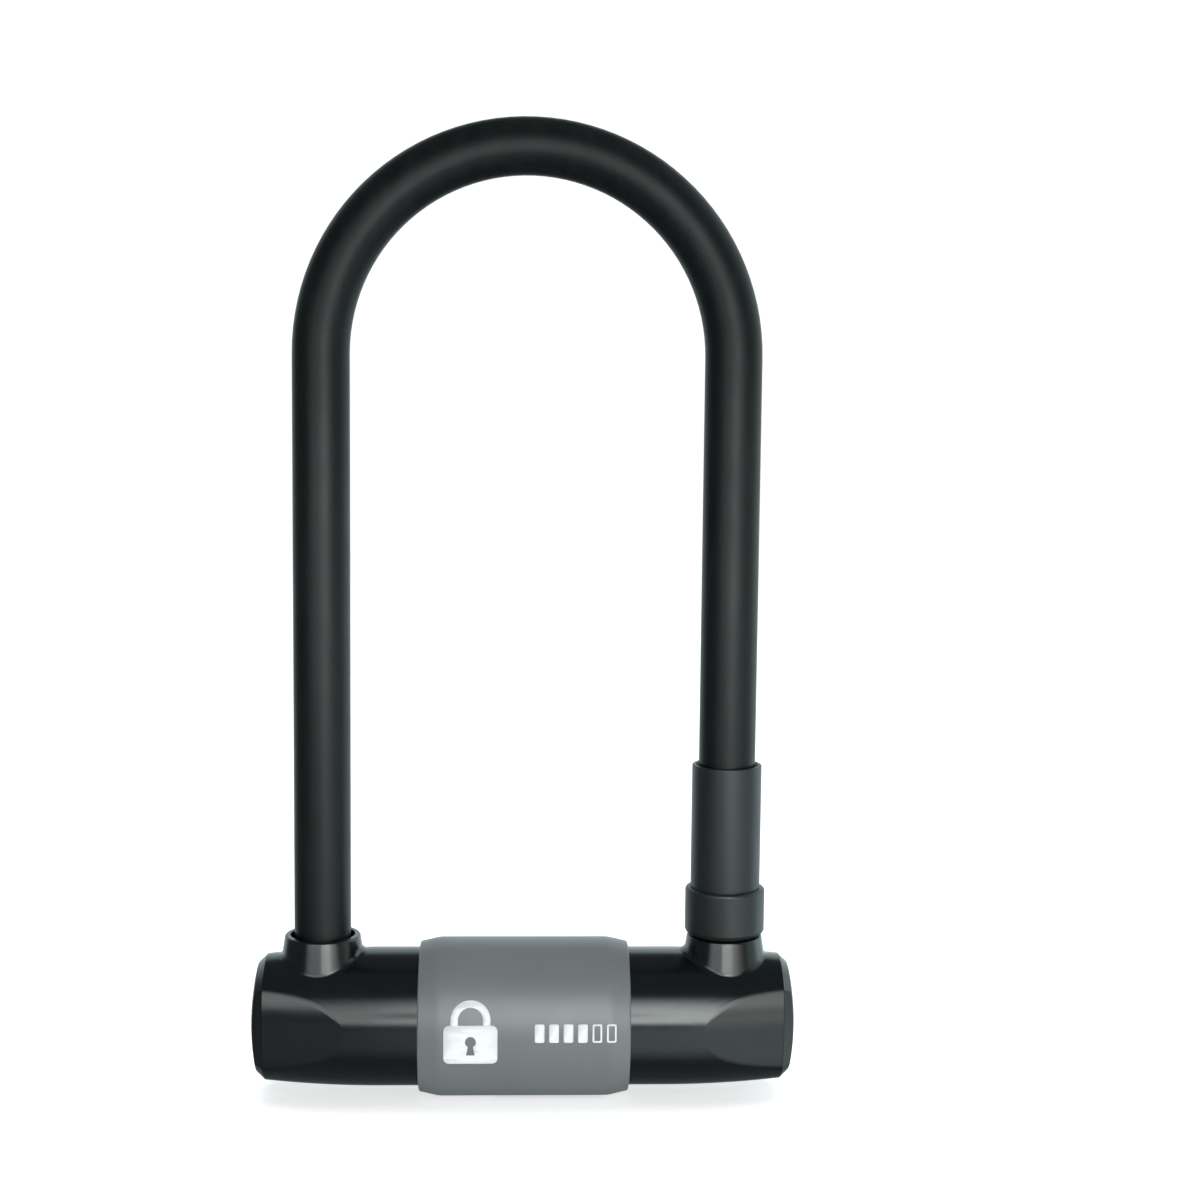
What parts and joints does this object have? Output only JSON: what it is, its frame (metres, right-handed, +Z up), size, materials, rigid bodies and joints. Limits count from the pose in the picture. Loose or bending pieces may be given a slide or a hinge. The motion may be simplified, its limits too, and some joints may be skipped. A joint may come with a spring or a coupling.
{
  "type": "u lock",
  "caption": "Bicycle U lock: coated steel shackle that plugs into a black crossbar with a grey centre sleeve, a disc cylinder underneath and bolts that catch both feet.",
  "frame": {"origin": "middle of the underside: below the middle of the crossbar, at the lowest point of its centre sleeve", "axes": "+X along the crossbar, towards the leg with the carrier sleeve; +Z up the shackle legs, out of the crossbar; the front faces -Y"},
  "size_m": [0.174, 0.0504, 0.3103],
  "materials": {
    "vinyl_coat": "matt black vinyl dip over steel, faint lengthwise drag marks",
    "hardened_steel": "bare hardened rod, drawn and lightly oiled",
    "black_rubber": "soft black rubber",
    "spring_steel": "dark spring steel",
    "carrier_plastic": "satin dark grey moulded plastic",
    "grey_plastic": "satin mid grey moulded plastic",
    "shutter_plastic": "satin black moulded plastic",
    "tube_steel": "hardened tube, zinc plated",
    "cast_zinc": "pressure cast, as cast with machined bores",
    "cam_steel": "ground steel",
    "housing_steel": "turned steel",
    "brass": "turned brass",
    "cover_plastic": "satin gloss black moulded plastic",
    "cap_plastic": "satin gloss black moulded plastic",
    "bush_nylon": "natural off-white nylon",
    "bolt_steel": "hardened ground bolt"
  },
  "bodies": {
    "crossbar": {"lock_tube": "tube_steel", "mechanism_frame": "cast_zinc", "guide_pins": "spring_steel", "cylinder_pins": "spring_steel", "cylinder_housing": "housing_steel", "plug_snap_ring": "spring_steel", "right_cover": "cover_plastic", "left_cover": "cover_plastic", "right_end_cap": "cap_plastic", "left_end_cap": "cap_plastic", "right_leg_bush": "bush_nylon", "left_leg_bush": "bush_nylon", "right_seal": "black_rubber", "left_seal": "black_rubber", "right_guide_block": "cast_zinc", "left_guide_block": "cast_zinc", "right_tube_plug": "tube_steel", "left_tube_plug": "tube_steel", "center_sleeve": "grey_plastic"},
    "shackle": {"shackle_core": "hardened_steel", "shackle_coating": "vinyl_coat", "bumper_washer": "black_rubber", "sleeve_snap_ring": "spring_steel"},
    "carrier": {"carrier_sleeve": "carrier_plastic", "carrier_ring": "carrier_plastic"},
    "lock_core": {"cylinder_plug": "brass", "lock_discs": "brass", "disc_spacers": "spring_steel", "sidebar": "brass", "guard_disc": "cam_steel", "cam_plate": "cam_steel"},
    "bolt_left": {"left_bolt": "bolt_steel", "left_bolt_pin": "cam_steel"},
    "bolt_right": {"right_bolt": "bolt_steel", "right_bolt_pin": "cam_steel"},
    "shutter": {"dust_cover": "shutter_plastic"}
  },
  "joints": [
    {"name": "shackle_pull", "type": "slide", "parent": "crossbar", "child": "shackle", "axis": [0, 0, 1], "range_m": [0, 0.07]},
    {"name": "carrier_spin", "type": "hinge", "parent": "shackle", "child": "carrier", "pos_m": [0.0645, 0, 0.08], "axis": [0, 0, 1], "continuous": true},
    {"name": "key_turn", "type": "hinge", "parent": "crossbar", "child": "lock_core", "pos_m": [0, 0, 0.01], "axis": [0, 0, 1], "range_deg": [0, 180]},
    {"name": "bolt_left_slide", "type": "slide", "parent": "crossbar", "child": "bolt_left", "axis": [-1, 0, 0], "range_m": [0, 0.006]},
    {"name": "bolt_right_slide", "type": "slide", "parent": "crossbar", "child": "bolt_right", "axis": [1, 0, 0], "range_m": [0, 0.006]},
    {"name": "shutter_slide", "type": "slide", "parent": "crossbar", "child": "shutter", "axis": [1, 0, 0], "range_m": [0, 0.016]}
  ],
  "couplings": [
    {"joint": "key_turn", "follows": "bolt_left_slide", "rad_per_m": 523.6},
    {"joint": "bolt_right_slide", "follows": "bolt_left_slide", "ratio": 1}
  ]
}
